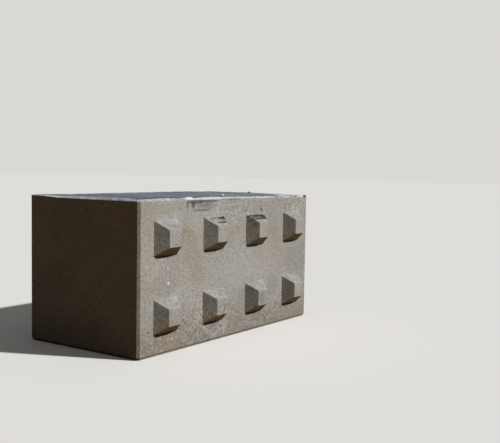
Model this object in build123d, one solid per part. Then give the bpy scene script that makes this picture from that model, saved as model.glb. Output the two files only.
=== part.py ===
from build123d import *
import os
from math import atan2, degrees

# Interlocking building block of plain concrete, cast in one pour in a steel mould.
# It lies as it was cast: the mould's floor below, the trowelled pour face on top,
# the knobs on one long side and the matching sockets on the other.
# X runs along the length, the knobs point along -Y, the sockets open along +Y, and Z is up.
# The origin is the centre of the face that the block rests on. Sizes are millimetres.

# Body
block_length = 1600.0
block_width = 800.0  # from the knob face to the socket face
block_height = 800.0  # from the mould's floor to the pour face
corner_chamfer = 13.0  # the four upright edges
rim_chamfer = 13.0  # the edges round the pour face
foot_setback = 6.5  # the foot stands back this far from the faces
foot_height = 6.5  # the foot's own upright wall

# Knobs, square pyramids with flat tips, on a square grid centred on the knob face
knob_pitch = 400.0
knob_base = 182.0
knob_tip = 90.0
knob_rise = 67.0
knob_edge_radius = 4.0  # tip edges and sloping corners
knob_columns = int(block_length // knob_pitch)
knob_rows = int(block_height // knob_pitch)
knob_taper = degrees(atan2((knob_base - knob_tip) / 2, knob_rise))

# Sockets, which take the knobs of the next block with play all round
socket_side_play = 5.0
socket_end_play = 6.0
socket_mouth = knob_base + 2 * socket_side_play
socket_depth = knob_rise + socket_end_play

# The two long sides, both seen from the knobs' side, so that a form on either points along -Y
knob_face = Plane(origin=(0, -block_width / 2, block_height / 2), x_dir=(1, 0, 0), z_dir=(0, -1, 0))
socket_face = Plane(origin=(0, block_width / 2, block_height / 2), x_dir=(1, 0, 0), z_dir=(0, -1, 0))


# The plain prism: chamfered corners and rim, and a foot that the mould's floor strip sets back
def cast_body():
    with BuildPart() as body:
        with BuildSketch(Plane.XY.offset(foot_height)):
            outline = Rectangle(block_length, block_width)
            chamfer(outline.vertices(), corner_chamfer)
        extrude(amount=block_height - foot_height)
        chamfer(body.faces().sort_by(Axis.Z)[-1].edges(), rim_chamfer)
        chamfer(body.faces().sort_by(Axis.Z)[0].edges(), foot_setback)
        extrude(body.faces().sort_by(Axis.Z)[0], amount=foot_height)
    return body.part


# One pyramid with a flat tip, standing on XY, with its tip and its sloping corners rounded
def knob_form(base, rise):
    with BuildPart() as form:
        with BuildSketch():
            Rectangle(base, base)
        extrude(amount=rise, taper=knob_taper)
        foot_edges = form.faces().sort_by(Axis.Z)[0].edges()
        fillet(form.edges() - foot_edges, knob_edge_radius)
    return form.part


# A form repeated on the knob grid of one long side
def on_grid(form, face):
    spots = GridLocations(knob_pitch, knob_pitch, knob_columns, knob_rows)
    return [face * spot * form for spot in spots]


knobs = on_grid(knob_form(knob_base, knob_rise), knob_face)
socket_formers = on_grid(knob_form(socket_mouth, socket_depth), socket_face)
concrete_block = cast_body() + knobs - socket_formers

os.makedirs("parts", exist_ok=True)
export_step(concrete_block, "parts/concrete_block.step")
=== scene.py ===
import math
import random
import bmesh
import bpy
from mathutils import Matrix, Vector
from mathutils.kdtree import KDTree


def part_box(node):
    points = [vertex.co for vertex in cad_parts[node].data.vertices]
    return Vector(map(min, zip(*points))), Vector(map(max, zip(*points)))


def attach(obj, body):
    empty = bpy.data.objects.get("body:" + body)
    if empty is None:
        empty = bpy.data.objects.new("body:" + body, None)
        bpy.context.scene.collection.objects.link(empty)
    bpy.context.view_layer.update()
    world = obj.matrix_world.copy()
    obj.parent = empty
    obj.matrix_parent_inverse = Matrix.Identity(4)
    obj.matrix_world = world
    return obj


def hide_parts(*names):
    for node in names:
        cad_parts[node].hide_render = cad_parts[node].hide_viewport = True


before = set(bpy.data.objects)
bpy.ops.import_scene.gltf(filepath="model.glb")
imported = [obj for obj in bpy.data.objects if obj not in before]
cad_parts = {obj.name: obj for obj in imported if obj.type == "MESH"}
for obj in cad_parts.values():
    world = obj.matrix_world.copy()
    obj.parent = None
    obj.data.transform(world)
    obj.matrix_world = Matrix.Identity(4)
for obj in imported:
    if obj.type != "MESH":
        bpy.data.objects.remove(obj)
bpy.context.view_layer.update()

cadLow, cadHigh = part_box("concrete_block")

# Camera, matched to the photograph's view of the block
viewLook = {
    "place": (-3.642, -3.023, 0.960),
    "yaw": 34.683,  # degrees from +X towards +Y
    "pitch": -3.875,
    "roll": 0.969,
    "lens": 56.81,
    "sensor": 36.0,  # its width, in millimetres as the lens is
    "farthest": 200.0,
}


def addCamera(look):
    data = bpy.data.cameras.new("photoView")
    data.lens = look["lens"]
    data.sensor_width = look["sensor"]
    data.clip_end = look["farthest"]
    camera = bpy.data.objects.new("photoView", data)
    bpy.context.scene.collection.objects.link(camera)
    turn = Matrix.Rotation(math.radians(look["yaw"] - 90), 4, "Z")
    tilt = Matrix.Rotation(math.radians(90 + look["pitch"]), 4, "X")
    lean = Matrix.Rotation(math.radians(look["roll"]), 4, "Z")
    camera.matrix_world = Matrix.Translation(look["place"]) @ turn @ tilt @ lean
    bpy.context.scene.camera = camera


addCamera(viewLook)
print("camera placed")


# Colours are written as they look on screen, 0 to 255
def screenColour(red, green, blue):
    linear = []
    for part in (red / 255, green / 255, blue / 255):
        linear.append(part / 12.92 if part <= 0.04045 else ((part + 0.055) / 1.055) ** 2.4)
    return (*linear, 1.0)


# One shader node, with its settings, and with values or other nodes' outputs on its inputs
def addNode(tree, kind, settings=None, inputs=None):
    node = tree.nodes.new("ShaderNode" + kind)
    for name, value in (settings or {}).items():
        setattr(node, name, value)
    for name, value in (inputs or {}).items():
        if isinstance(value, bpy.types.NodeSocket):
            tree.links.new(value, node.inputs[name])
        else:
            node.inputs[name].default_value = value
    return node


# Object coordinates, shifted and stretched: a size above 1 makes a pattern longer that way
def placeOf(tree, centre=(0, 0, 0), size=(1, 1, 1), turn=0.0):
    coords = addNode(tree, "TexCoord").outputs["Object"]
    shifted = addNode(tree, "VectorMath", {"operation": "SUBTRACT"}, {0: coords, 1: centre}).outputs[0]
    scale = [1 / part for part in size]
    inputs = {"Vector": shifted, "Rotation": (0, 0, math.radians(turn)), "Scale": scale}
    return addNode(tree, "Mapping", None, inputs).outputs[0]


# A value turned into 0 at "start" and 1 at "end", eased between them
def fade(tree, value, start, end):
    inputs = {"Value": value, "From Min": start, "From Max": end}
    return addNode(tree, "MapRange", {"interpolation_type": "SMOOTHSTEP"}, inputs).outputs[0]


# A value of 0 to 1 spread over another range
def spread(tree, value, low, high):
    return addNode(tree, "Math", {"operation": "MULTIPLY_ADD"}, {0: value, 1: high - low, 2: low}).outputs[0]


# A noise, faded between the last two of its numbers or spread over them
def pattern(tree, numbers, place=None, shaping=fade):
    scale, detail, rough, bend, start, end = numbers
    inputs = {"Vector": place or placeOf(tree), "Scale": scale, "Detail": detail, "Roughness": rough}
    inputs["Distortion"] = bend
    return shaping(tree, addNode(tree, "TexNoise", None, inputs).outputs[0], start, end)


def combine(tree, operation, first, second=0.0):
    return addNode(tree, "Math", {"operation": operation}, {0: first, 1: second}).outputs[0]


def multiply(tree, first, *others):
    for other in others:
        first = combine(tree, "MULTIPLY", first, other)
    return first


# A colour of three numbers is one of the screen
def mixColours(tree, amount, under, over, blend="MIX"):
    settings = {"data_type": "RGBA", "blend_type": blend}
    inputs = {0: amount, 6: under, 7: over}
    for number in (6, 7):
        if isinstance(inputs[number], tuple) and len(inputs[number]) == 3:
            inputs[number] = screenColour(*inputs[number])
    return addNode(tree, "Mix", settings, inputs).outputs[2]


# A mark: 1 inside an ellipsoid, 0 outside, its edge broken up by "ragged", a noise around 0
def mark(tree, centre, size, ragged, soft=0.3):
    inputs = {0: placeOf(tree, centre, size)}
    distance = addNode(tree, "VectorMath", {"operation": "LENGTH"}, inputs).outputs[1]
    edge = multiply(tree, ragged, min(1.0, 18 * max(size)))  # small marks stay whole
    return fade(tree, combine(tree, "ADD", distance, edge), 1 + soft, 1 - soft)


# Scattered dots: "share" of the cells hold one
def specks(tree, scale, radius, share, shift):
    inputs = {"Vector": placeOf(tree, (shift, shift, shift)), "Scale": scale}
    cells = addNode(tree, "TexVoronoi", None, inputs)
    dot = fade(tree, cells.outputs["Distance"], radius, radius * 0.4)
    chance = addNode(tree, "SeparateColor", None, {0: cells.outputs["Color"]}).outputs[0]
    return multiply(tree, dot, combine(tree, "GREATER_THAN", chance, 1 - share))


print("helpers ready")

# The cast block
blockShape = {
    "cornerChamfer": 0.013,
    "rimChamfer": 0.013,
    "footSetback": 0.0065,
    "footHeight": 0.0065,
    "arris": 0.0014,  # how far the edges of the body are worn round
    "knobPitch": 0.4,
    "knobBase": 0.182,
    "knobTip": 0.090,
    "knobEdge": 0.0028,
    "socketPlay": 0.005,
    "socketEndPlay": 0.006,
    "socketEdge": 0.002,
    "cell": 0.0185,  # size of the mesh's cells, halved in the strip round the pour face
    "fineBand": 0.040,  # height of that strip
    "rimRows": 4,
    "margin": 0.05,  # no knob or socket lies this near an edge of the body
    "sharpAngle": 20,  # degrees, past which an edge is worn round
}
tiny = 0.0004  # places this near each other count as one
knobColumns = [(column - 1.5) * blockShape["knobPitch"] for column in range(4)]
knobRows = [cadHigh.z / 2 + (row - 0.5) * blockShape["knobPitch"] for row in range(2)]


# Edit-mode selection by place: "test" gets the vertex places of one "FACE" or "EDGE"
def pick(block, kind, test):
    bpy.ops.mesh.select_mode(type=kind)
    bpy.ops.mesh.select_all(action="DESELECT")
    mesh = bmesh.from_edit_mesh(block.data)
    for part in (mesh.faces if kind == "FACE" else mesh.edges):
        if not part.hide and test([corner.co for corner in part.verts]):
            part.select_set(True)
    bmesh.update_edit_mesh(block.data)


# Straight cuts through everything that isn't hidden
def cutAcross(axis, places):
    normal = tuple(1.0 if part == axis else 0.0 for part in range(3))
    for place in places:
        bpy.ops.mesh.select_all(action="SELECT")
        bpy.ops.mesh.bisect(plane_co=tuple(part * place for part in normal), plane_no=normal)


# Lines between the marks, as near to one cell apart as they divide
def evenly(marks, cell):
    lines = []
    for start, end in zip(marks, marks[1:]):
        count = max(1, round((end - start) / cell))
        lines += [start + (end - start) * step / count for step in range(count)]
    return lines[1:]


def startBlock(shape):
    length, width, height = cadHigh.x - cadLow.x, 2 * cadHigh.y, cadHigh.z - shape["footHeight"]
    middle = (0, 0, shape["footHeight"] + height / 2)
    bpy.ops.object.select_all(action="DESELECT")
    bpy.ops.mesh.primitive_cube_add(size=1, location=middle, scale=(length, width, height))
    block = bpy.context.object
    block.name = "cast_block"
    bpy.ops.object.transform_apply(location=True, rotation=True, scale=True)
    bpy.ops.object.mode_set(mode="EDIT")
    pick(block, "EDGE", lambda ends: abs(ends[0].z - ends[1].z) > height / 2)
    bpy.ops.mesh.bevel(offset=shape["cornerChamfer"], segments=1)
    pick(block, "EDGE", lambda ends: min(end.z for end in ends) > cadHigh.z - tiny)
    bpy.ops.mesh.bevel(offset=shape["rimChamfer"], segments=1)
    pick(block, "EDGE", lambda ends: max(end.z for end in ends) < shape["footHeight"] + tiny)
    bpy.ops.mesh.bevel(offset=shape["footSetback"], segments=1)
    pick(block, "FACE", lambda ends: max(end.z for end in ends) < shape["footHeight"] + tiny)
    bpy.ops.mesh.extrude_region_move(TRANSFORM_OT_translate={"value": (0, 0, -shape["footHeight"])})
    bpy.ops.mesh.select_mode(type="EDGE")
    bpy.ops.mesh.select_all(action="DESELECT")
    bpy.ops.mesh.edges_select_sharp(sharpness=math.radians(shape["sharpAngle"]))
    bpy.ops.mesh.bevel(offset=shape["arris"], segments=2)
    return block


# Knobs stand on the -Y side and sockets sink into the +Y side: both narrow towards -Y
def pushForms(block, faceY, base, tip, depth, edge):
    pick(block, "FACE", lambda ends: max(abs(end.y - faceY) for end in ends) < tiny)
    bpy.ops.mesh.hide(unselected=True)
    for axis, middles in ((0, knobColumns), (2, knobRows)):
        cutAcross(axis, [middle + side * base / 2 for middle in middles for side in (-1, 1)])
    bpy.ops.mesh.reveal(select=False)
    for x in knobColumns:
        for z in knobRows:
            middle = Vector((x, faceY, z))
            pick(block, "FACE", lambda ends: (sum(ends, Vector()) / len(ends) - middle).length < tiny)
            bpy.ops.mesh.extrude_region_move(TRANSFORM_OT_translate={"value": (0, -depth, 0)})
            centre = (x, faceY - depth, z)
            bpy.ops.transform.resize(value=(tip / base, 1, tip / base), center_override=centre)
    nearest, farthest = faceY - depth - tiny, faceY + tiny
    margin = blockShape["margin"]
    pick(block, "EDGE", lambda ends: min(end.y for end in ends) < faceY - depth / 2
         and all(nearest < end.y < farthest and abs(end.x) < cadHigh.x - margin for end in ends)
         and all(margin < end.z < cadHigh.z - margin for end in ends))
    bpy.ops.mesh.bevel(offset=edge, segments=3, profile=0.5)


# An even mesh all over, and a finer one on the pour face and just below it
def gridBlock(block, shape):
    marks = {}
    chamfer, half = shape["cornerChamfer"], shape["knobBase"] / 2
    marks[0] = [cadLow.x + chamfer] + [x + side * half for x in knobColumns for side in (-1, 1)]
    marks[0].append(cadHigh.x - chamfer)
    marks[1] = [chamfer - cadHigh.y, cadHigh.y - chamfer]
    marks[2] = [shape["footHeight"] + shape["footSetback"]]
    marks[2] += [z + side * half for z in knobRows for side in (-1, 1)]
    marks[2].append(cadHigh.z - shape["rimChamfer"])
    for axis in range(3):
        cutAcross(axis, evenly(marks[axis], shape["cell"]))
    fineLow = cadHigh.z - shape["rimChamfer"] - shape["fineBand"]
    pick(block, "FACE", lambda ends: min(end.z for end in ends) > fineLow)
    bpy.ops.mesh.hide(unselected=True)
    for axis in range(3):
        lines = [marks[axis][0]] + evenly(marks[axis], shape["cell"]) + [marks[axis][-1]]
        middles = [(start + end) / 2 for start, end in zip(lines, lines[1:]) if axis < 2 or start > fineLow]
        cutAcross(axis, middles)
    rows = shape["rimRows"]
    cutAcross(2, [cadHigh.z - shape["rimChamfer"] * row / rows for row in range(1, rows)])
    bpy.ops.mesh.reveal(select=False)


block = startBlock(blockShape)
knobRise = -cadLow.y - cadHigh.y
slope = (blockShape["knobBase"] - blockShape["knobTip"]) / 2 / knobRise
socketMouth = blockShape["knobBase"] + 2 * blockShape["socketPlay"]
socketDepth = knobRise + blockShape["socketEndPlay"]
pushForms(block, -cadHigh.y, blockShape["knobBase"], blockShape["knobTip"], knobRise, blockShape["knobEdge"])
pushForms(block, cadHigh.y, socketMouth, socketMouth - 2 * slope * socketDepth, socketDepth,
          blockShape["socketEdge"])
gridBlock(block, blockShape)
bpy.ops.object.mode_set(mode="OBJECT")
print("block formed,", len(block.data.polygons), "faces")

# The relief of the pour face and its rim, and the slight unevenness of the formed faces
reliefLook = {
    "sink": 0.0022,  # how far the pour face lies below its rim
    "sinkEnds": (0.2, 0.36),  # where that fades out along Y
    "dish": 0.0050,  # and how much lower it is towards the back, with the rim there
    "dishStarts": (-0.2, 0.33),
    "pourEdge": 0.024,  # distance from the sides at which the pour face's unevenness is full
    "rimEdge": (0.014, 0.05),  # and over which that of the rim fades out
    # Unevenness: its height, and the size of its clouds
    "waves": (0.0030, 0.22),
    "ripples": (0.0012, 0.035),
    "rimWander": (0.0034, 0.045),
    "rimCrumble": (0.0014, 0.018),
    "formedWander": (0.0005, 0.03),
    "formedStarts": (0.012, 0.03),  # heights over which the last one starts
    "squareCorner": 0.008,  # how much of the rim chamfer is filled at the far end
    "squareAlong": (-0.72, -0.50),
    "squareAcross": (0.14, 0.34),
    "sag": 0.0118,  # how much lower the pour face lies at the front corner on the +X side
    "sagAlong": (-0.30, 0.80),
    "sagAcross": (-0.35, 0.30),
    "sagFrom": 0.700,  # height above which the formed sides follow it
    # Lumps and dips of the rim: x, y, reach along x, reach along y, height
    "rimSpots": [
        (-0.720, -0.387, 0.120, 0.060, -0.0020),
        (-0.500, -0.387, 0.090, 0.030, -0.0024),
        (-0.403, -0.387, 0.030, 0.060, 0.0024),
        (-0.335, -0.387, 0.050, 0.030, -0.0042),
        (-0.122, -0.387, 0.012, 0.012, -0.0030),
        (0.470, -0.387, 0.060, 0.050, 0.0016),
        (0.760, 0.300, 0.320, 0.270, -0.0036),
    ],
}


def ease(value, start, end):
    share = min(1.0, max(0.0, (value - start) / (end - start)))
    return share * share * (3 - 2 * share)


def sagShare(place, look):
    start, end = look["sagAlong"]
    return max(0.0, (place.x - start) / (end - start)) * (1 - ease(place.y, *look["sagAcross"]))


def rimDistance(place):
    return min(cadHigh.x - abs(place.x), cadHigh.y - abs(place.y))


# Moves part of the surface: "shareOf" gives each vertex its share of the distance, 0 to 1
def pushSurface(block, name, shareOf, direction, distance, texture=None):
    group = block.vertex_groups.new(name=name)
    for vertex in block.data.vertices:
        share = shareOf(vertex.co)
        if share > 0.001:
            group.add([vertex.index], share, "REPLACE")
    bpy.ops.object.modifier_add(type="DISPLACE")
    push = block.modifiers[-1]
    push.name = name
    push.vertex_group = name
    push.direction = direction
    push.strength = distance
    push.mid_level = 0.5 if texture else 0.0
    push.texture = texture
    push.texture_coords = "LOCAL"
    bpy.ops.object.modifier_apply(modifier=name)
    block.vertex_groups.remove(block.vertex_groups[name])


def roughen(block, name, shareOf, direction, look):
    height, size = look[name]
    texture = bpy.data.textures.new(name, "CLOUDS")
    texture.noise_scale = size
    texture.noise_depth = 2
    pushSurface(block, name, shareOf, direction, height, texture)


def shapeRelief(block, look, shape):
    rimLow = cadHigh.z - shape["rimChamfer"]

    def onPour(place):
        return ease(rimDistance(place), shape["rimChamfer"], look["pourEdge"]) if place.z > rimLow else 0.0

    def onFront(place):
        return onPour(place) * (1 - ease(place.y, *look["sinkEnds"]))

    def onRim(place):
        inward = ease(rimDistance(place), *look["rimEdge"])
        return ease(place.z, rimLow - 0.003, rimLow + 0.001) * (1 - inward)

    def onFormed(place):
        return ease(place.z, *look["formedStarts"]) * (1 - ease(place.z, rimLow - 0.02, rimLow))

    def onBack(place):
        return ease(place.z, rimLow + 0.002, cadHigh.z - 0.001) * ease(place.y, *look["dishStarts"])

    pushSurface(block, "sink", onFront, "Z", -look["sink"])
    pushSurface(block, "dish", onBack, "Z", -look["dish"])
    roughen(block, "waves", onPour, "Z", look)
    roughen(block, "ripples", onPour, "Z", look)
    for number, (x, y, along, across, height) in enumerate(look["rimSpots"]):
        def onSpot(place):
            far = math.hypot((place.x - x) / along, (place.y - y) / across)
            return ease(place.z, rimLow + 0.002, cadHigh.z - 0.004) * (1 - ease(far, 0.3, 1.0))
        pushSurface(block, "rimSpot" + str(number), onSpot, "Z", height)

    def farCorner(place):
        near = ease(place.y, *look["squareAcross"]) * (1 - ease(place.x, *look["squareAlong"]))
        if place.z < rimLow - 0.002:
            return 0.0
        return near * min(1.0, (cadHigh.z - place.z) / shape["rimChamfer"])

    pushSurface(block, "farCorner", farCorner, "Z", look["squareCorner"])
    roughen(block, "rimWander", onRim, "NORMAL", look)
    roughen(block, "rimCrumble", onRim, "NORMAL", look)
    roughen(block, "formedWander", onFormed, "NORMAL", look)

    def onSag(place):
        return ease(place.z, look["sagFrom"], rimLow) * sagShare(place, look)

    pushSurface(block, "sag", onSag, "Z", -look["sag"])


shapeRelief(block, reliefLook, blockShape)
print("relief shaped")

# Pores, chips and crumbs
poreLook = {
    "seed": 14,
    "apart": 0.014,
    "onFace": 95,
    "onSocketFace": 75,
    "onEnd": 45,
    "onPour": 26,
    "onKnobTop": 7,
    "onKnobSide": 2,
    "radius": (0.0013, 0.0046),
    "fewLarge": 2.5,  # the higher, the fewer large ones
    "margin": 0.018,  # their distance from the edges of the body
    "lowest": 0.02,
    "slopeMargin": 0.008,  # and from the edges of a knob
    "tipMargin": 0.010,
    "flat": (0.7, 1.1),  # depth to width
    "lift": 0.25,  # how far a cutter stands out, to its radius
    "rough": 0.16,  # how uneven the ball is that cuts them
    "stretch": (0.8, 1.3),
    # Larger pores seen on the knob face and on the knobs' top slopes: place, radius
    "seenPores": [((-0.624, -0.440, 0.663), 0.0050), ((-0.579, -0.439, 0.664), 0.0052),
                  ((-0.182, -0.436, 0.266), 0.0046), ((-0.176, -0.417, 0.279), 0.0044),
                  ((-0.211, -0.400, 0.311), 0.0048)],
    "seenFlat": 0.8,
    "chips": 40,
    "chipRadius": (0.0030, 0.0080),
    "chipAlong": (-0.77, 0.77),
    "chipAcross": (-0.37, 0.37),
    "chipHeight": (0.03, 0.77),
    "chipFlat": 0.6,
    "chipLift": 0.35,
    "crumbFlat": 0.7,
    "crumbLift": 0.1,
    "smoothAngle": 28,  # degrees, up to which faces are shaded as one surface
    # Grains and crumbs that stand out of the pour face, a sand-coloured one first: x, y, radius
    "crumbs": [(0.180, -0.173, 0.0086), (0.779, 0.049, 0.0100), (-0.310, -0.365, 0.0035),
               (0.060, -0.350, 0.0030), (0.395, -0.362, 0.0040), (0.545, -0.357, 0.0045),
               (-0.640, 0.210, 0.0030), (-0.100, 0.120, 0.0028), (0.480, 0.250, 0.0034),
               (-0.520, -0.150, 0.0026), (0.785, -0.390, 0.0090)],
}


# Where a straight line meets the surface: it runs from 40 mm outside the place to 20 mm inside
def onSurface(block, place, outward):
    found, spot, facing = block.ray_cast(place + outward * 0.04, -outward, distance=0.06)[:3]
    return (spot, facing) if found else None


# A place on one of a knob's four slopes: side 0 is the top one, then clockwise
def knobSpot(x, z, side, across, depth, margin):
    out = Vector((math.sin(side * math.pi / 2), 0, math.cos(side * math.pi / 2)))
    along = Vector((out.z, 0, -out.x))
    half = blockShape["knobBase"] / 2 - slope * depth
    place = Vector((x, -cadHigh.y - depth, z)) + out * half + along * across * (half - margin)
    return place, (out * knobRise + Vector((0, -slope * knobRise, 0))).normalized()


def poreSpots(look):
    wide, tall, deep = cadHigh.x - look["margin"], cadHigh.z - look["margin"], cadHigh.y - look["margin"]
    low, slopeMargin = look["lowest"], look["slopeMargin"]
    spots = []
    for side, count in ((-1, look["onFace"]), (1, look["onSocketFace"])):
        for number in range(count):
            place = Vector((random.uniform(-wide, wide), side * cadHigh.y, random.uniform(low, tall)))
            spots.append((place, Vector((0, side, 0))))
    for side in (-1, 1):
        for number in range(look["onEnd"]):
            place = Vector((side * cadHigh.x, random.uniform(-deep, deep), random.uniform(low, tall)))
            spots.append((place, Vector((side, 0, 0))))
    for number in range(look["onPour"]):
        place = Vector((random.uniform(-wide, wide), random.uniform(-deep, deep), cadHigh.z))
        spots.append((place, Vector((0, 0, 1))))
    for x in knobColumns:
        for z in knobRows:
            for side in range(4):
                for number in range(look["onKnobTop"] if side == 0 else look["onKnobSide"]):
                    depth = random.uniform(slopeMargin, knobRise - look["tipMargin"])
                    spots.append(knobSpot(x, z, side, random.uniform(-1, 1), depth, slopeMargin))
    return spots


# One rough ball is modelled, and each cutter is a copy of it with its own mesh
def roughBall(look):
    bpy.ops.object.select_all(action="DESELECT")
    bpy.ops.mesh.primitive_ico_sphere_add(subdivisions=2, radius=1.0)
    ball = bpy.context.object
    bpy.ops.object.mode_set(mode="EDIT")
    bpy.ops.mesh.select_all(action="SELECT")
    bpy.ops.transform.vertex_random(offset=look["rough"], seed=3)
    bpy.ops.object.mode_set(mode="OBJECT")
    return ball


def placeBall(ball, spot, facing, radius, flat, lift):
    copy = ball.copy()
    copy.data = ball.data.copy()
    bpy.context.scene.collection.objects.link(copy)
    turn = facing.to_track_quat("Z", "Y").to_matrix().to_4x4()
    turn = turn @ Matrix.Rotation(random.uniform(0, 6.28), 4, "Z")
    size = Matrix.Diagonal((radius * random.uniform(*poreLook["stretch"]), radius, radius * flat, 1))
    copy.matrix_world = Matrix.Translation(spot + facing * radius * lift) @ turn @ size
    return copy


def joinBalls(balls, name):
    bpy.ops.object.select_all(action="DESELECT")
    for ball in balls:
        ball.select_set(True)
    bpy.context.view_layer.objects.active = balls[0]
    bpy.ops.object.join()
    joined = bpy.context.object
    joined.name = name
    bpy.ops.object.transform_apply(location=True, rotation=True, scale=True)
    return joined


def cutWith(block, tool, operation):
    bpy.ops.object.select_all(action="DESELECT")
    block.select_set(True)
    bpy.context.view_layer.objects.active = block
    bpy.ops.object.modifier_add(type="BOOLEAN")
    step = block.modifiers[-1]
    step.object = tool
    step.operation = operation
    step.solver = "MANIFOLD"
    bpy.ops.object.modifier_apply(modifier=step.name)
    bpy.data.objects.remove(tool)


# Chips lie along both edges of the rim's front, its left and back edges, and the front upright corners
def chipSpots(look, shape):
    rim = shape["rimChamfer"]
    spots = []
    for number in range(look["chips"]):
        x = random.uniform(*look["chipAlong"])
        y = random.uniform(*look["chipAcross"])
        kind = number % 5
        if kind < 2:
            spots.append(Vector((x, -cadHigh.y + rim * kind, cadHigh.z - rim * (1 - kind))))
        elif kind == 2:
            spots.append(Vector((cadLow.x + rim, y, cadHigh.z)))
        elif kind == 3:
            side = random.choice((-1, 1))
            height = random.uniform(*look["chipHeight"])
            spots.append(Vector((side * (cadHigh.x - rim), -cadHigh.y, height)))
        else:
            spots.append(Vector((x, cadHigh.y, cadHigh.z - rim)))
    for spot in spots:
        share = ease(spot.z, reliefLook["sagFrom"], cadHigh.z - rim) * sagShare(spot, reliefLook)
        spot.z -= share * reliefLook["sag"]
    return spots


def weatherBlock(block, look, shape):
    random.seed(look["seed"])
    ball = roughBall(look)
    cutters = []
    taken = [Vector(place) for place, radius in look["seenPores"]]
    pores = []
    smallest, largest = look["radius"]
    for place, outward in poreSpots(look):
        hit = onSurface(block, place, outward)
        radius = smallest + (largest - smallest) * random.random() ** look["fewLarge"]
        if hit and all((hit[0] - other).length > look["apart"] for other in taken):
            taken.append(hit[0])
            pores.append((hit[0], radius))
            flat = random.uniform(*look["flat"])
            cutters.append(placeBall(ball, hit[0], hit[1], radius, flat, look["lift"]))
    for place, radius in look["seenPores"]:
        outward = Vector((0, -1, 0 if place[1] > -cadHigh.y - tiny else 1)).normalized()
        spot, facing = onSurface(block, Vector(place), outward)
        pores.append((spot, radius))
        cutters.append(placeBall(ball, spot, facing, radius, look["seenFlat"], look["lift"]))
    for place in chipSpots(look, shape):
        radius = random.uniform(*look["chipRadius"])
        outward = Vector((place.x / cadHigh.x, place.y / cadHigh.y, 0.4)).normalized()
        if all((place - other).length > 2 * look["apart"] for other in taken):
            taken.append(place)
            cutters.append(placeBall(ball, place, outward, radius, look["chipFlat"], look["chipLift"]))
    cutWith(block, joinBalls(cutters, "poreCutters"), "DIFFERENCE")
    print(len(cutters), "pores and chips")
    crumbs = []
    for x, y, radius in look["crumbs"]:
        spot, facing = onSurface(block, Vector((x, y, cadHigh.z)), Vector((0, 0, 1)))
        crumbs.append(placeBall(ball, spot, facing, radius, look["crumbFlat"], look["crumbLift"]))
    cutWith(block, joinBalls(crumbs, "crumbs"), "UNION")
    bpy.data.objects.remove(ball)
    bpy.ops.object.shade_smooth_by_angle(angle=math.radians(look["smoothAngle"]))
    bpy.ops.object.modifier_add(type="WEIGHTED_NORMAL")
    block.modifiers[-1].keep_sharp = True
    bpy.ops.object.modifier_apply(modifier=block.modifiers[-1].name)
    return pores


pores = weatherBlock(block, poreLook, blockShape)
print("surface weathered,", len(block.data.polygons), "faces")

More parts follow.
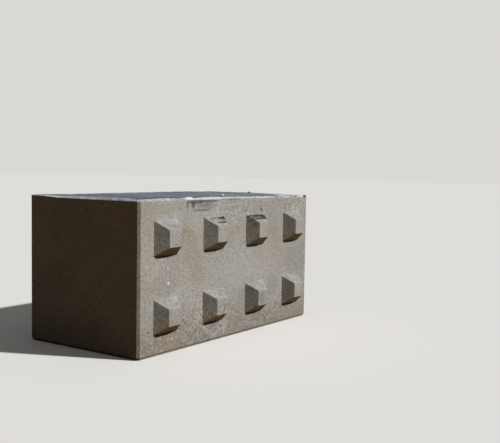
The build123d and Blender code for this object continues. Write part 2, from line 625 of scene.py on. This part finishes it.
# The concrete: formed faces, the trowelled pour face and the pale rim between them
concreteLook = {
    "formed": (164, 160, 153),
    "formedWarm": (157, 151, 139),
    "formedDark": (140, 135, 126),
    "formedLow": (130, 124, 113),
    "washed": (154, 155, 154),
    "tan": (150, 139, 120),
    # Painted warm shade for faces that face down, under the lower knobs and under the upper ones
    "undersideShadeLow": (170, 154, 122),
    "undersideShadeHigh": (150, 137, 111),
    "dark": (66, 66, 63),
    "black": (28, 27, 26),
    # The pour face: its darker trowelled finish, with a painted reflection of blue sky in it
    "pour": (105, 112, 121),
    "pourPale": (140, 145, 150),
    "pourDark": (71, 79, 90),
    "residue": (50, 54, 55),
    "blue": (88, 98, 117),
    # Painted light and shade for the knobs' slopes that face -X, on the lower and upper part of each knob
    "leftSlopeLitLow": (166, 158, 140),
    "leftSlopeLitHigh": (150, 151, 144),
    "stain": (134, 132, 126),
    "cornerChamferTint": (150, 136, 118),
    # Lime, and on the end rims pale bluish painted sky light
    "limeAndSkyLight": (213, 218, 228),
    "pale": (166, 166, 165),
    "rim": (146, 146, 146),
    "lime": (186, 187, 191),
    "grain": (208, 208, 206),
    "grit": (236, 219, 194),
    "specular": 0.1,
    "roughness": (0.78, 0.98),
    "trowelled": 0.22,  # how much smoother the pour face is
    "bumpStrength": 0.5,
    "bumpHeight": 0.0009,
    "bumpFine": 0.35,  # the part of the finer pattern in it, and of the pits
    "bumpPits": 0.8,
    # How much of each colour shows: the most, or the least and the most
    "broadShare": (0.42, 0.92),
    "lowShare": 0.85,
    "lowBelow": 0.28,  # metres above the floor
    "washShare": (0.45, 0.90),
    "washUpward": (0.15, 0.9),
    "undersideShadeShare": 0.9,
    "leftSlopeLightShare": 0.8,
    "cornerTintShare": 0.7,
    "pourPaleShare": 0.75,
    "limeShare": 0.45,
    "endLimeAndSkyLightShare": (0.45, 0.95),
    "cornerShare": 0.85,
    "pitShadeShare": (0.40, 0.85),
    "poreShadeShare": 0.8,
    "grainShare": (0.5, 0.9),
    # Painted light and shade, as brightness from the first place to the last: on slopes that face up, in the
    # creases, and on the -X slopes towards +X
    "upwardShadeTone": (1.0, 0.88),
    "creaseShadeTone": (1.0, 0.52),
    "leftSlopeLightTone": (1.03, 0.82),
    "rimWobble": 0.006,  # how far the rim's lower edge wanders, and the edge of the pour face
    "pourWobble": 0.010,
    "rimThinner": 0.004,  # how much narrower the rim is towards +X
    "thinnerAlong": (-0.16, -0.08),
    # Patterns: scale, detail, roughness, bend, and the two values between which they fade or spread
    "broad": (2.4, 4.0, 0.55, 0.0, 0.36, 0.66),
    "cloud": (9.0, 5.0, 0.6, 0.5, 0.48, 0.74),
    "wash": (14.0, 5.0, 0.65, 0.3, 0.42, 0.66),
    "drag": (3.2, 8.0, 0.66, 0.3, 0.36, 0.64),
    "streak": (13.0, 6.0, 0.72, 0.3, 0.40, 0.70),
    "splash": (14.0, 6.0, 0.7, 0.8, -1.1, 1.1),
    "patches": (26.0, 4.0, 0.7, 0.6, 0.44, 0.60),
    "wobble": (32.0, 5.0, 0.65, 0.4, -1.0, 1.0),
    "ragged": (60.0, 5.0, 0.7, 0.6, -1.1, 1.1),
    "coarse": (75.0, 4.0, 0.7, 0.0, 0.33, 0.67),
    "fine": (190.0, 3.0, 0.7, 0.0, 0.33, 0.67),
    "mottle": (26.0, 4.0, 0.65, 1.0, 0.35, 0.65),
    "pitShade": (5.0, 3.0, 0.6, 0.3, 0.42, 0.66),
    # How three of them change the brightness: least strength, darkest, lightest
    "coarseTone": (0.50, 0.65, 1.35),
    "fineTone": (0.6, 0.73, 1.27),
    "mottleTone": (0.18, 0.74, 1.26),
    # Dots: scale, radius, share of the cells that hold one, shift
    "pits": (55.0, 0.26, 0.14, 0.0),
    "finePits": (110.0, 0.30, 0.26, 3.1),
    "grains": (80.0, 0.28, 0.15, 7.7),
    # Broad stains, and places with more specks and stronger mottling: place, reach, strength
    "tanMarks": [((-0.439, -0.4, 0.594), (0.095, 0.04, 0.055), 0.60),
                 ((-0.020, -0.4, 0.613), (0.085, 0.04, 0.050), 0.45),
                 ((0.400, -0.4, 0.590), (0.080, 0.04, 0.060), 0.40),
                 ((-0.335, -0.4, 0.410), (0.090, 0.04, 0.110), 0.52),
                 ((0.265, -0.4, 0.425), (0.030, 0.04, 0.060), 0.40),
                 ((0.565, -0.4, 0.405), (0.050, 0.04, 0.075), 0.30),
                 ((-0.740, -0.4, 0.660), (0.050, 0.04, 0.110), 0.35),
                 ((-0.620, -0.4, 0.735), (0.110, 0.04, 0.030), 0.30),
                 ((-0.620, -0.4, 0.040), (0.200, 0.04, 0.070), 0.50),
                 ((0.610, -0.43, 0.268), (0.080, 0.04, 0.030), 0.22),
                 ((-0.690, -0.4, 0.360), (0.120, 0.04, 0.080), 0.25)],
    "stainMarks": [((0.160, -0.4, 0.240), (0.150, 0.04, 0.090), 0.65),
                   ((0.400, -0.4, 0.250), (0.085, 0.04, 0.075), 0.60),
                   ((0.190, -0.46, 0.205), (0.040, 0.03, 0.045), 1.00),
                   ((0.532, -0.432, 0.200), (0.035, 0.05, 0.120), 1.00),
                   ((0.200, -0.43, 0.268), (0.080, 0.04, 0.030), 0.35),
                   ((0.600, -0.43, 0.268), (0.080, 0.04, 0.030), 0.12),
                   ((-0.440, -0.4, 0.030), (0.110, 0.04, 0.050), 0.35),
                   ((0.765, -0.4, 0.620), (0.040, 0.04, 0.120), 0.35),
                   ((0.680, -0.4, 0.340), (0.170, 0.04, 0.190), 0.50),
                   ((0.610, -0.43, 0.670), (0.090, 0.04, 0.030), 0.48),
                   ((-0.600, -0.43, 0.270), (0.090, 0.04, 0.030), 0.20),
                   ((-0.610, -0.4, 0.340), (0.130, 0.04, 0.060), 0.30),
                   ((-0.740, -0.4, 0.750), (0.060, 0.04, 0.060), 0.30),
                   ((0.240, -0.4, 0.740), (0.060, 0.04, 0.050), 0.30),
                   ((0.520, -0.4, 0.755), (0.250, 0.04, 0.045), 0.22),
                   ((0.740, -0.4, 0.440), (0.080, 0.04, 0.110), 0.50)],
    "paleMarks": [((-0.515, -0.4, 0.690), (0.045, 0.05, 0.050), 0.70),
                  ((0.655, -0.4, 0.695), (0.050, 0.05, 0.040), 0.18),
                  ((-0.200, -0.467, 0.600), (0.050, 0.03, 0.050), 0.30),
                  ((-0.520, -0.4, 0.285), (0.045, 0.05, 0.045), 0.50),
                  ((0.320, -0.4, 0.285), (0.040, 0.05, 0.050), 0.28),
                  ((-0.100, -0.4, 0.560), (0.040, 0.05, 0.070), 0.15),
                  ((0.000, -0.4, 0.400), (0.300, 0.04, 0.160), 0.45),
                  ((0.120, -0.4, 0.750), (0.380, 0.04, 0.060), 0.25),
                  ((-0.350, -0.4, 0.130), (0.100, 0.04, 0.080), 0.15),
                  ((-0.150, -0.4, 0.060), (0.110, 0.04, 0.070), 0.35)],
    "roughMarks": [((-0.250, -0.4, 0.110), (0.300, 0.12, 0.140), 1.00),
                   ((-0.040, -0.4, 0.700), (0.230, 0.12, 0.080), 0.70),
                   ((0.640, -0.4, 0.720), (0.160, 0.12, 0.080), 0.60),
                   ((0.300, -0.4, 0.100), (0.300, 0.12, 0.100), 0.80),
                   ((-0.700, -0.4, 0.060), (0.200, 0.12, 0.060), 0.50)],
    # Darker ground of the pour face close behind its rim
    "pourMarks": [((-0.690, 0.020, 0.797), (0.080, 0.240, 0.030), 0.85),
                  ((-0.610, -0.130, 0.797), (0.130, 0.130, 0.030), 0.95),
                  ((-0.470, 0.150, 0.797), (0.330, 0.260, 0.030), 0.50),
                  ((-0.600, -0.300, 0.797), (0.280, 0.125, 0.030), 0.95),
                  ((-0.250, -0.300, 0.797), (0.180, 0.100, 0.030), 0.85),
                  ((0.150, -0.330, 0.795), (0.260, 0.070, 0.030), 0.70),
                  ((0.480, -0.300, 0.790), (0.120, 0.070, 0.030), 0.60)],
    # A patch of painted blue sky reflection on the pour face
    "skyReflectionMarks": [((0.460, -0.240, 0.792), (0.260, 0.170, 0.030), 0.38)],
    # Dark smears on the knob face: x, z, reach along x, reach along z, strength
    "darkMarks": [(-0.345, 0.7765, 0.085, 0.0100, 0.72), (-0.240, 0.7770, 0.075, 0.0075, 0.65),
                  (-0.429, 0.762, 0.008, 0.020, 0.60), (-0.381, 0.761, 0.015, 0.019, 0.75),
                  (-0.300, 0.757, 0.060, 0.013, 0.32), (-0.240, 0.752, 0.055, 0.017, 0.30),
                  (-0.310, 0.730, 0.064, 0.0060, 0.60), (0.262, 0.745, 0.0055, 0.038, 0.30),
                  (0.266, 0.712, 0.013, 0.010, 0.70), (-0.010, 0.7815, 0.070, 0.0035, 0.50),
                  (-0.122, 0.7860, 0.010, 0.0055, 0.65)],
    # Dark residue on the second and third upper knobs: place, reach, strength
    "slopeMarks": [((-0.190, -0.413, 0.683), (0.060, 0.012, 0.0060), 0.60),
                   ((-0.130, -0.414, 0.683), (0.042, 0.016, 0.0100), 1.00),
                   ((-0.114, -0.430, 0.672), (0.018, 0.024, 0.018), 1.00),
                   ((-0.165, -0.443, 0.661), (0.052, 0.010, 0.0060), 0.85),
                   ((-0.140, -0.428, 0.672), (0.040, 0.014, 0.0110), 0.45),
                   ((0.188, -0.414, 0.682), (0.092, 0.014, 0.0080), 0.90),
                   ((0.252, -0.427, 0.673), (0.026, 0.030, 0.020), 1.00),
                   ((0.206, -0.439, 0.664), (0.060, 0.011, 0.0060), 0.80),
                   ((0.190, -0.427, 0.673), (0.075, 0.022, 0.013), 0.65),
                   ((0.138, -0.443, 0.634), (0.011, 0.016, 0.015), 0.38),
                   ((0.127, -0.424, 0.658), (0.010, 0.016, 0.012), 0.28)],
    # Lime on the rim and the corner of the pour face; on the rim at the -X end it is partly painted sky
    # light
    "limeMarks": [((-0.403, -0.391, 0.797), (0.034, 0.024, 0.012), 1.00),
                  ((-0.300, -0.395, 0.792), (0.110, 0.013, 0.0100), 0.90),
                  ((-0.175, -0.395, 0.792), (0.085, 0.013, 0.0095), 0.95),
                  ((-0.640, -0.390, 0.794), (0.170, 0.015, 0.0100), 0.42),
                  ((-0.060, -0.392, 0.793), (0.060, 0.012, 0.0070), 0.72),
                  ((0.070, -0.392, 0.792), (0.085, 0.012, 0.0070), 0.62),
                  ((0.225, -0.392, 0.790), (0.090, 0.012, 0.0070), 0.58),
                  ((0.340, -0.392, 0.788), (0.060, 0.012, 0.0070), 0.45),
                  ((0.545, -0.362, 0.789), (0.052, 0.032, 0.030), 0.90),
                  ((0.600, -0.327, 0.789), (0.060, 0.042, 0.030), 1.25),
                  ((0.670, -0.282, 0.789), (0.075, 0.046, 0.030), 1.15),
                  ((0.730, -0.240, 0.789), (0.060, 0.045, 0.030), 0.75),
                  ((0.725, -0.325, 0.788), (0.050, 0.028, 0.030), 0.85),
                  ((0.775, -0.150, 0.790), (0.030, 0.080, 0.030), 0.25),
                  ((0.700, -0.374, 0.787), (0.060, 0.022, 0.030), 0.80),
                  ((0.735, -0.384, 0.785), (0.050, 0.026, 0.012), 1.00),
                  # On the -X end rim: lime, with painted sky light in it
                  ((-0.793, 0.170, 0.794), (0.014, 0.190, 0.010), 0.75),
                  ((-0.793, -0.180, 0.794), (0.014, 0.190, 0.010), 0.85),
                  ((-0.790, 0.020, 0.796), (0.014, 0.040, 0.011), 0.90),
                  ((-0.790, -0.310, 0.796), (0.014, 0.040, 0.010), 0.90)],
    "limeSpots": [((-0.402, -0.391, 0.798), (0.024, 0.018, 0.010), 0.80),
                  ((-0.576, -0.400, 0.363), (0.009, 0.010, 0.008), 0.80),
                  ((-0.581, -0.400, 0.443), (0.006, 0.010, 0.007), 0.55),
                  ((-0.544, -0.400, 0.069), (0.007, 0.010, 0.007), 0.60)],
    # Black spots on the rim and beside it
    "blackMarks": [((0.783, -0.391, 0.785), (0.025, 0.022, 0.013), 1.00),
                   ((0.702, -0.297, 0.788), (0.018, 0.018, 0.010), 0.55),
                   ((0.444, -0.390, 0.791), (0.014, 0.014, 0.011), 0.62),
                   ((0.662, -0.392, 0.786), (0.014, 0.014, 0.008), 0.40),
                   ((0.779, 0.049, 0.796), (0.015, 0.015, 0.014), 0.85)],
}


def splitPlace(tree):
    coords = addNode(tree, "TexCoord").outputs["Object"]
    return tuple(addNode(tree, "SeparateXYZ", None, {0: coords}).outputs)


# A pattern of 0 to 1 that changes the brightness of a colour
def tone(tree, colour, value, low, high):
    shade = mixColours(tree, value, (low, low, low, 1.0), (high, high, high, 1.0))
    return mixColours(tree, 1.0, colour, shade, "MULTIPLY")


# The same, with less of the pattern where "strength" is below 1
def speckle(tree, colour, value, strength, least, low, high):
    change = multiply(tree, combine(tree, "SUBTRACT", value, 0.5), spread(tree, strength, least, 1.0))
    return tone(tree, colour, combine(tree, "ADD", change, 0.5), low, high)


def addMark(tree, colour, place, size, ragged, strength, shade):
    here = multiply(tree, mark(tree, place, size, ragged), strength)
    return mixColours(tree, here, colour, shade)


# Kept for each vertex, and read by the shader under the same name
def storeValues(block, name, valueAt):
    values = block.data.attributes.new(name, "FLOAT", "POINT").data
    for vertex in block.data.vertices:
        values[vertex.index].value = valueAt(vertex.co)


# Painted shade along the lower edge of each knob, where it meets the face
def creaseShadeAt(place):
    half, near = blockShape["knobBase"] / 2, 0.002
    low = min(abs(place.z - middle + half) for middle in knobRows)
    side = min(abs(place.x - middle) for middle in knobColumns)
    return float(low < near and side < half and abs(place.y + cadHigh.y) < near)


# Broad soft marks, which a noise breaks up
def storeMarks(block, name, marks):
    def strongest(place):
        most = 0.0
        for centre, size, strength in marks:
            steps = [(part - middle) / reach for part, middle, reach in zip(place, centre, size)]
            if max(abs(step) for step in steps) < 1.3:
                most = max(most, strength * (1 - ease(math.hypot(*steps), 0.3, 1.3)))
        return most

    storeValues(block, name, strongest)


# Painted shade inside the pores: the larger, the darker
def storePoreShade(block, pores):
    tree = KDTree(len(pores))
    for number, (place, radius) in enumerate(pores):
        tree.insert(place, number)
    tree.balance()

    def darkness(place):
        number, far = tree.find(place)[1:]
        radius = pores[number][1]
        return ease(1 - far / radius, 0.0, 0.3) * ease(radius, 0.001, 0.004)

    storeValues(block, "pores", darkness)


def storedValue(tree, name):
    return addNode(tree, "Attribute", {"attribute_name": name}).outputs["Fac"]


def storedMarks(tree, name, ragged):
    return multiply(tree, storedValue(tree, name), spread(tree, ragged, 1.0, 1.45))


# The height above the floor, with the sag of the pour face taken out
def levelHeight(tree, relief):
    x, y, z = splitPlace(tree)
    start, end = relief["sagAlong"]
    along = addNode(tree, "MapRange", None, {"Value": x, "From Min": start, "From Max": end}).outputs[0]
    across = fade(tree, y, *reversed(relief["sagAcross"]))
    return combine(tree, "ADD", z, multiply(tree, along, across, relief["sag"]))


# Painted light and shade on the knobs' slopes on the -X side, and a warmer, darker colour on the corner
# chamfer there
def paintLeftSlopeLight(tree, look, normal, colour):
    x, z = splitPlace(tree)[::2]
    leftward = fade(tree, normal[0], -0.55, -0.75)
    forward = multiply(tree, fade(tree, normal[1], -0.25, -0.45), fade(tree, x, -0.782, -0.778))
    up = combine(tree, "MODULO", z, blockShape["knobPitch"])
    slopeLight = mixColours(tree, fade(tree, up, 0.14, 0.27), look["leftSlopeLitLow"], look["leftSlopeLitHigh"])
    slopeLight = tone(tree, slopeLight, fade(tree, x, -0.4, 0.25), *look["leftSlopeLightTone"])
    colour = mixColours(tree, multiply(tree, leftward, forward, look["leftSlopeLightShare"]), colour, slopeLight)
    outermost, slanting = fade(tree, x, -0.786, -0.789), fade(tree, normal[1], -0.3, -0.6)
    corner = multiply(tree, leftward, outermost, slanting, look["cornerTintShare"])
    return mixColours(tree, corner, colour, look["cornerChamferTint"])


def formedColour(tree, look, normal, ragged):
    height, facing = splitPlace(tree)[2], normal[2]
    broad = spread(tree, pattern(tree, look["broad"]), *look["broadShare"])
    colour = mixColours(tree, broad, look["formedDark"], look["formed"])
    colour = mixColours(tree, pattern(tree, look["cloud"]), colour, look["formedWarm"])
    low = spread(tree, fade(tree, height, look["lowBelow"], 0.0), 0.0, look["lowShare"])
    colour = mixColours(tree, low, colour, look["formedLow"])
    upward = fade(tree, facing, 0.25, 0.75)
    wash = spread(tree, pattern(tree, look["wash"]), *look["washShare"])
    wash = multiply(tree, spread(tree, upward, *look["washUpward"]), wash)
    colour = mixColours(tree, wash, colour, look["washed"])
    # Painted shade: slopes that face up are darker
    colour = tone(tree, colour, upward, *look["upwardShadeTone"])
    colour = paintLeftSlopeLight(tree, look, normal, colour)
    # Painted warm shade on faces that face down, as under the knobs
    under = multiply(tree, fade(tree, facing, -0.25, -0.75), look["undersideShadeShare"])
    undersideShade = mixColours(tree, fade(tree, height, 0.3, 0.5), look["undersideShadeLow"], look["undersideShadeHigh"])
    colour = mixColours(tree, under, colour, undersideShade)
    # Painted shade in the creases under the knobs
    creaseShade = combine(tree, "POWER", storedValue(tree, "paintedCreaseShade"), 1.5)
    colour = tone(tree, colour, creaseShade, *look["creaseShadeTone"])
    for shade in ("tan", "stain", "pale"):
        colour = mixColours(tree, storedMarks(tree, shade + "Marks", ragged), colour, look[shade])
    for x, z, along, up, strength in look["darkMarks"]:
        place, size = (x, -cadHigh.y, z), (along, 0.05, up)
        colour = addMark(tree, colour, place, size, ragged, strength, look["dark"])
    for place, size, strength in look["slopeMarks"]:
        colour = addMark(tree, colour, place, size, ragged, strength, look["residue"])
    return colour


# The darker trowelled pour face, with a painted reflection of blue sky in its colour
def pourColour(tree, look, ragged):
    drag = pattern(tree, look["drag"], placeOf(tree, size=(1.4, 0.9, 1), turn=14))
    streak = pattern(tree, look["streak"], placeOf(tree, size=(1.5, 0.8, 1), turn=-20))
    colour = mixColours(tree, drag, look["pourDark"], look["pour"])
    colour = mixColours(tree, spread(tree, streak, 0.0, look["pourPaleShare"]), colour, look["pourPale"])
    for marks, shade in (("pourMarks", "pourDark"), ("skyReflectionMarks", "blue")):
        colour = mixColours(tree, storedMarks(tree, marks, ragged), colour, look[shade])
    return colour


# The stored marks of lime, with a ragged outline
def limeSplashes(tree, look, ragged):
    cloud = pattern(tree, look["splash"], shaping=spread)
    line = combine(tree, "ADD", storedValue(tree, "limeMarks"), multiply(tree, ragged, 0.4))
    return fade(tree, combine(tree, "ADD", line, cloud), 0.15, 0.85)


# The pale rim, with more lime in places, and at both ends lime with painted sky light in it
def rimColour(tree, look, ragged):
    x, y = splitPlace(tree)[:2]
    patches = pattern(tree, look["patches"])
    colour = mixColours(tree, spread(tree, patches, 0.0, look["limeShare"]), look["rim"], look["lime"])
    colour = mixColours(tree, limeSplashes(tree, look, ragged), colour, look["lime"])
    ends = fade(tree, combine(tree, "ABSOLUTE", x), 0.783, 0.788)
    ends = multiply(tree, ends, spread(tree, patches, *look["endLimeAndSkyLightShare"]), fade(tree, y, -0.392, -0.382))
    return mixColours(tree, ends, colour, look["limeAndSkyLight"])


# Where the rim and the pour face lie: two patterns of 0 to 1
def upperParts(tree, look, shape, relief, wobble):
    x, y = splitPlace(tree)[:2]
    level = levelHeight(tree, relief)
    thinner = multiply(tree, fade(tree, x, *look["thinnerAlong"]), -look["rimThinner"])
    line = combine(tree, "ADD", level, multiply(tree, wobble, look["rimWobble"]))
    line = combine(tree, "ADD", line, thinner)
    rimLow = cadHigh.z - shape["rimChamfer"]
    rim = fade(tree, line, rimLow - 0.003, rimLow + 0.002)
    across = combine(tree, "SUBTRACT", cadHigh.x, combine(tree, "ABSOLUTE", x))
    front = combine(tree, "ADD", cadHigh.y, y)
    back = combine(tree, "SUBTRACT", cadHigh.y + 0.010, y)  # the pour face runs over the back lip
    inward = combine(tree, "MINIMUM", across, combine(tree, "MINIMUM", front, back))
    line = combine(tree, "ADD", inward, multiply(tree, wobble, look["pourWobble"]))
    pour = multiply(tree, fade(tree, line, 0.011, 0.016), fade(tree, level, 0.782, 0.788))
    return rim, pour


def concrete(look, shape, relief):
    material = bpy.data.materials.new("castConcrete")
    material.use_nodes = True
    tree = material.node_tree
    shader = tree.nodes["Principled BSDF"]
    shader.inputs["Specular IOR Level"].default_value = look["specular"]
    normal = addNode(tree, "SeparateXYZ", None, {0: addNode(tree, "NewGeometry").outputs["Normal"]}).outputs
    wobble = pattern(tree, look["wobble"], shaping=spread)
    ragged = pattern(tree, look["ragged"], shaping=spread)
    coarse = pattern(tree, look["coarse"], placeOf(tree, size=(1.3, 1, 1)))
    fine = pattern(tree, look["fine"])
    rim, pour = upperParts(tree, look, shape, relief, wobble)
    upward, belowRim = fade(tree, normal[2], 0.3, 0.7), fade(tree, splitPlace(tree)[2], 0.75, 0.71)
    slopes = multiply(tree, upward, belowRim, 0.6)
    rougher = combine(tree, "MAXIMUM", storedMarks(tree, "roughMarks", ragged), slopes)

    colour = formedColour(tree, look, normal, ragged)
    colour = mixColours(tree, rim, colour, rimColour(tree, look, ragged))
    ground = pourColour(tree, look, ragged)
    corner = multiply(tree, limeSplashes(tree, look, ragged), look["cornerShare"])
    ground = mixColours(tree, corner, ground, look["limeAndSkyLight"])
    colour = mixColours(tree, pour, colour, ground)
    for marks, shade in (("limeSpots", "grain"), ("blackMarks", "black")):
        for place, size, strength in look[marks]:
            colour = addMark(tree, colour, place, size, ragged, strength, look[shade])
    x, y, radius = poreLook["crumbs"][0]
    crumb = mark(tree, (x, y, cadHigh.z), (radius * 1.6, radius * 1.6, 0.02), 0.0, 0.1)
    colour = mixColours(tree, crumb, colour, look["grit"])
    mottled = combine(tree, "SUBTRACT", rougher, multiply(tree, slopes, 0.5))
    colour = speckle(tree, colour, coarse, mottled, *look["coarseTone"])
    colour = speckle(tree, colour, fine, rougher, *look["fineTone"])
    colour = speckle(tree, colour, pattern(tree, look["mottle"]), mottled, *look["mottleTone"])
    # Pinholes: dents in the bump, and painted shade inside them
    pits = combine(tree, "MAXIMUM", specks(tree, *look["pits"]), specks(tree, *look["finePits"]))
    pitShade = spread(tree, pattern(tree, look["pitShade"], placeOf(tree, (3, 5, 7))), *look["pitShadeShare"])
    pitShade = multiply(tree, pits, combine(tree, "MAXIMUM", pitShade, rougher))
    colour = mixColours(tree, pitShade, colour, look["dark"])
    # Painted shade inside the modelled pores
    poreShade = multiply(tree, storedValue(tree, "pores"), look["poreShadeShare"])
    colour = mixColours(tree, poreShade, colour, look["black"])
    grains = multiply(tree, specks(tree, *look["grains"]), spread(tree, rougher, *look["grainShare"]))
    colour = mixColours(tree, grains, colour, look["grain"])
    tree.links.new(colour, shader.inputs["Base Color"])

    rough = spread(tree, coarse, *look["roughness"])
    smoother = multiply(tree, pour, look["trowelled"])
    tree.links.new(combine(tree, "SUBTRACT", rough, smoother), shader.inputs["Roughness"])
    height = combine(tree, "ADD", coarse, multiply(tree, fine, look["bumpFine"]))
    height = combine(tree, "SUBTRACT", height, multiply(tree, pits, look["bumpPits"]))
    inputs = {"Strength": look["bumpStrength"], "Distance": look["bumpHeight"], "Height": height}
    tree.links.new(addNode(tree, "Bump", None, inputs).outputs["Normal"], shader.inputs["Normal"])
    return material


for marks in ("tanMarks", "stainMarks", "paleMarks", "roughMarks", "pourMarks", "skyReflectionMarks", "limeMarks"):
    storeMarks(block, marks, concreteLook[marks])
storeValues(block, "paintedCreaseShade", creaseShadeAt)
storePoreShade(block, pores)
block.data.materials.clear()
block.data.materials.append(concrete(concreteLook, blockShape, reliefLook))
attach(block, "root")
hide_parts("concrete_block")
print("concrete finished")

# Floor, light and backdrop
stageLook = {
    "floorSize": 120.0,
    "floorColour": (226, 224, 220),
    "bounceColour": (93, 66, 27),
    "backdrop": (219, 217, 213),
    "sunPower": 4.1,
    "sunSoftness": 2.2,  # degrees
    "sunTurn": 24.0,  # degrees from -Y towards +X
    "sunHeight": 38.3,  # degrees above the floor
    "ambient": 0.01,  # the level of the light from all sides
    "overhead": 0.43,  # and straight from above
}


# The colour that the camera and mirrors see, over the one that lights the block
def backgroundColour(tree, lighting, shown):
    path = addNode(tree, "LightPath")
    mirrored = combine(tree, "MAXIMUM", path.outputs["Is Glossy Ray"], path.outputs["Is Transmission Ray"])
    seen = combine(tree, "MAXIMUM", path.outputs["Is Camera Ray"], mirrored)
    return mixColours(tree, seen, lighting, shown)


def addFloor(look):
    bpy.ops.object.select_all(action="DESELECT")
    bpy.ops.mesh.primitive_grid_add(x_subdivisions=1, y_subdivisions=1, size=look["floorSize"])
    floor = bpy.context.object
    floor.name = "studioFloor"
    material = bpy.data.materials.new("paleFloor")
    material.use_nodes = True
    tree = material.node_tree
    shader = tree.nodes["Principled BSDF"]
    shader.inputs["Roughness"].default_value = 0.9
    shader.inputs["Specular IOR Level"].default_value = 0.0
    colour = backgroundColour(tree, look["bounceColour"], look["floorColour"])
    tree.links.new(colour, shader.inputs["Base Color"])
    floor.data.materials.append(material)


def addLight(look):
    data = bpy.data.lights.new("softSun", "SUN")
    data.energy = look["sunPower"]
    data.angle = math.radians(look["sunSoftness"])
    sun = bpy.data.objects.new("softSun", data)
    bpy.context.scene.collection.objects.link(sun)
    rise, turn = math.radians(look["sunHeight"]), math.radians(look["sunTurn"])
    towards = Vector((math.sin(turn) * math.cos(rise), -math.cos(turn) * math.cos(rise), math.sin(rise)))
    sun.rotation_euler = towards.to_track_quat("Z", "Y").to_euler()
    world = bpy.data.worlds.new("studio")
    bpy.context.scene.world = world
    world.use_nodes = True
    tree = world.node_tree
    coords = addNode(tree, "TexCoord").outputs["Generated"]
    upward = addNode(tree, "SeparateXYZ", None, {0: coords}).outputs[2]
    panel = spread(tree, fade(tree, upward, 0.6, 1.0), look["ambient"], look["overhead"])
    colour = backgroundColour(tree, panel, look["backdrop"])
    tree.links.new(colour, tree.nodes["Background"].inputs["Color"])


addFloor(stageLook)
addLight(stageLook)
bpy.context.scene.view_settings.view_transform = "Standard"
print("stage lit")
